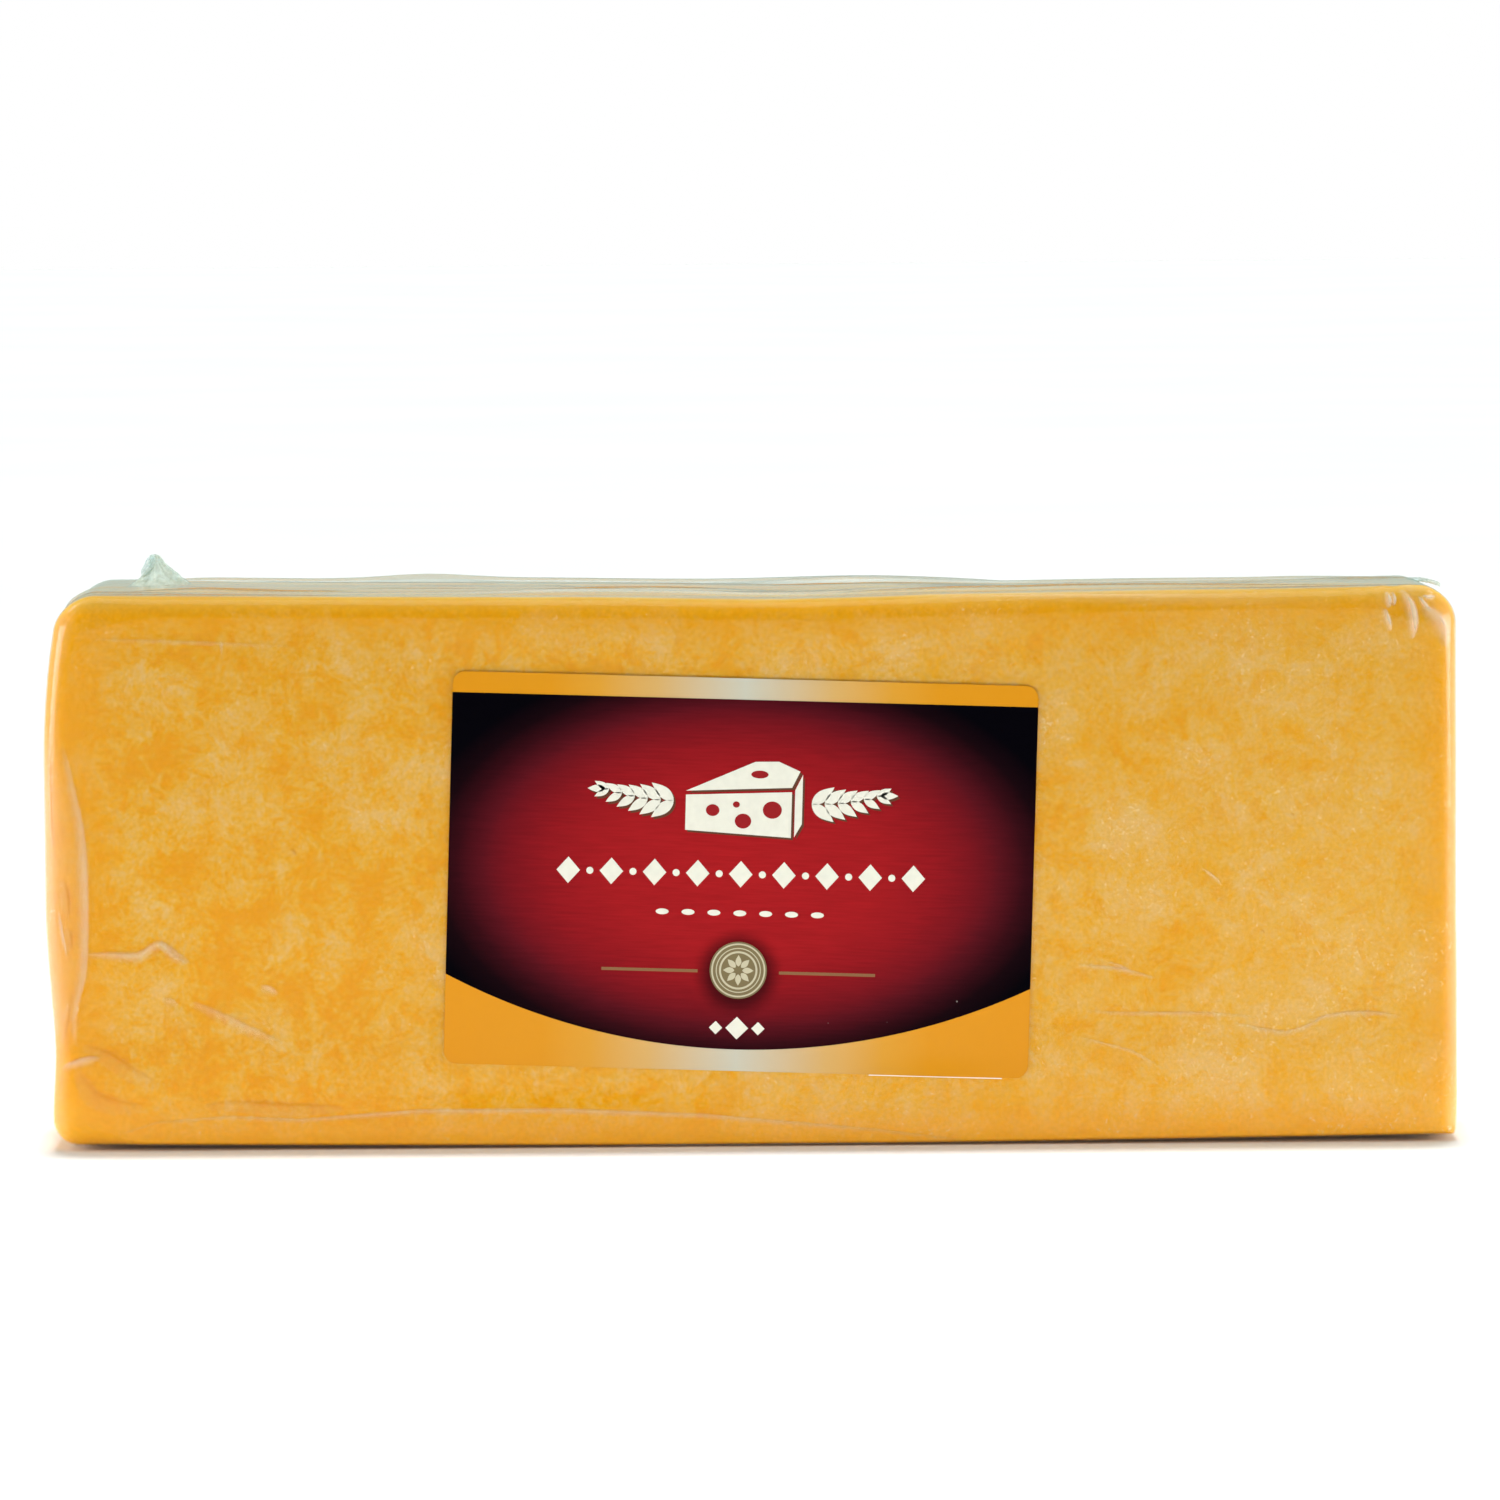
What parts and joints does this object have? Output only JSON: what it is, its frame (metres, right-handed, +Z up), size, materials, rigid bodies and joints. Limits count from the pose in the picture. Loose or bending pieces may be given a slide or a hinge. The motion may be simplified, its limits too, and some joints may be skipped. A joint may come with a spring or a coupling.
{
  "type": "cheddar block",
  "caption": "Rectangular block of orange-yellow cheddar, shrunk tight into clear film with a crumpled film tail on its top and a printed label on its front.",
  "frame": {"origin": "centre of the underside of the bounding box, on the surface that the block lies on", "axes": "+X along the block's length to the right of its label, +Y from the label to the back, +Z up"},
  "size_m": [0.3643, 0.0919, 0.15],
  "materials": {
    "sealed_bag": "clear glossy shrink film drawn tight over marbled orange-yellow cheddar",
    "label": "satin coated paper, printed in amber, dark red and gold"
  },
  "bodies": {
    "root": {"sealed_bag": "sealed_bag", "label": "label"}
  },
  "joints": []
}
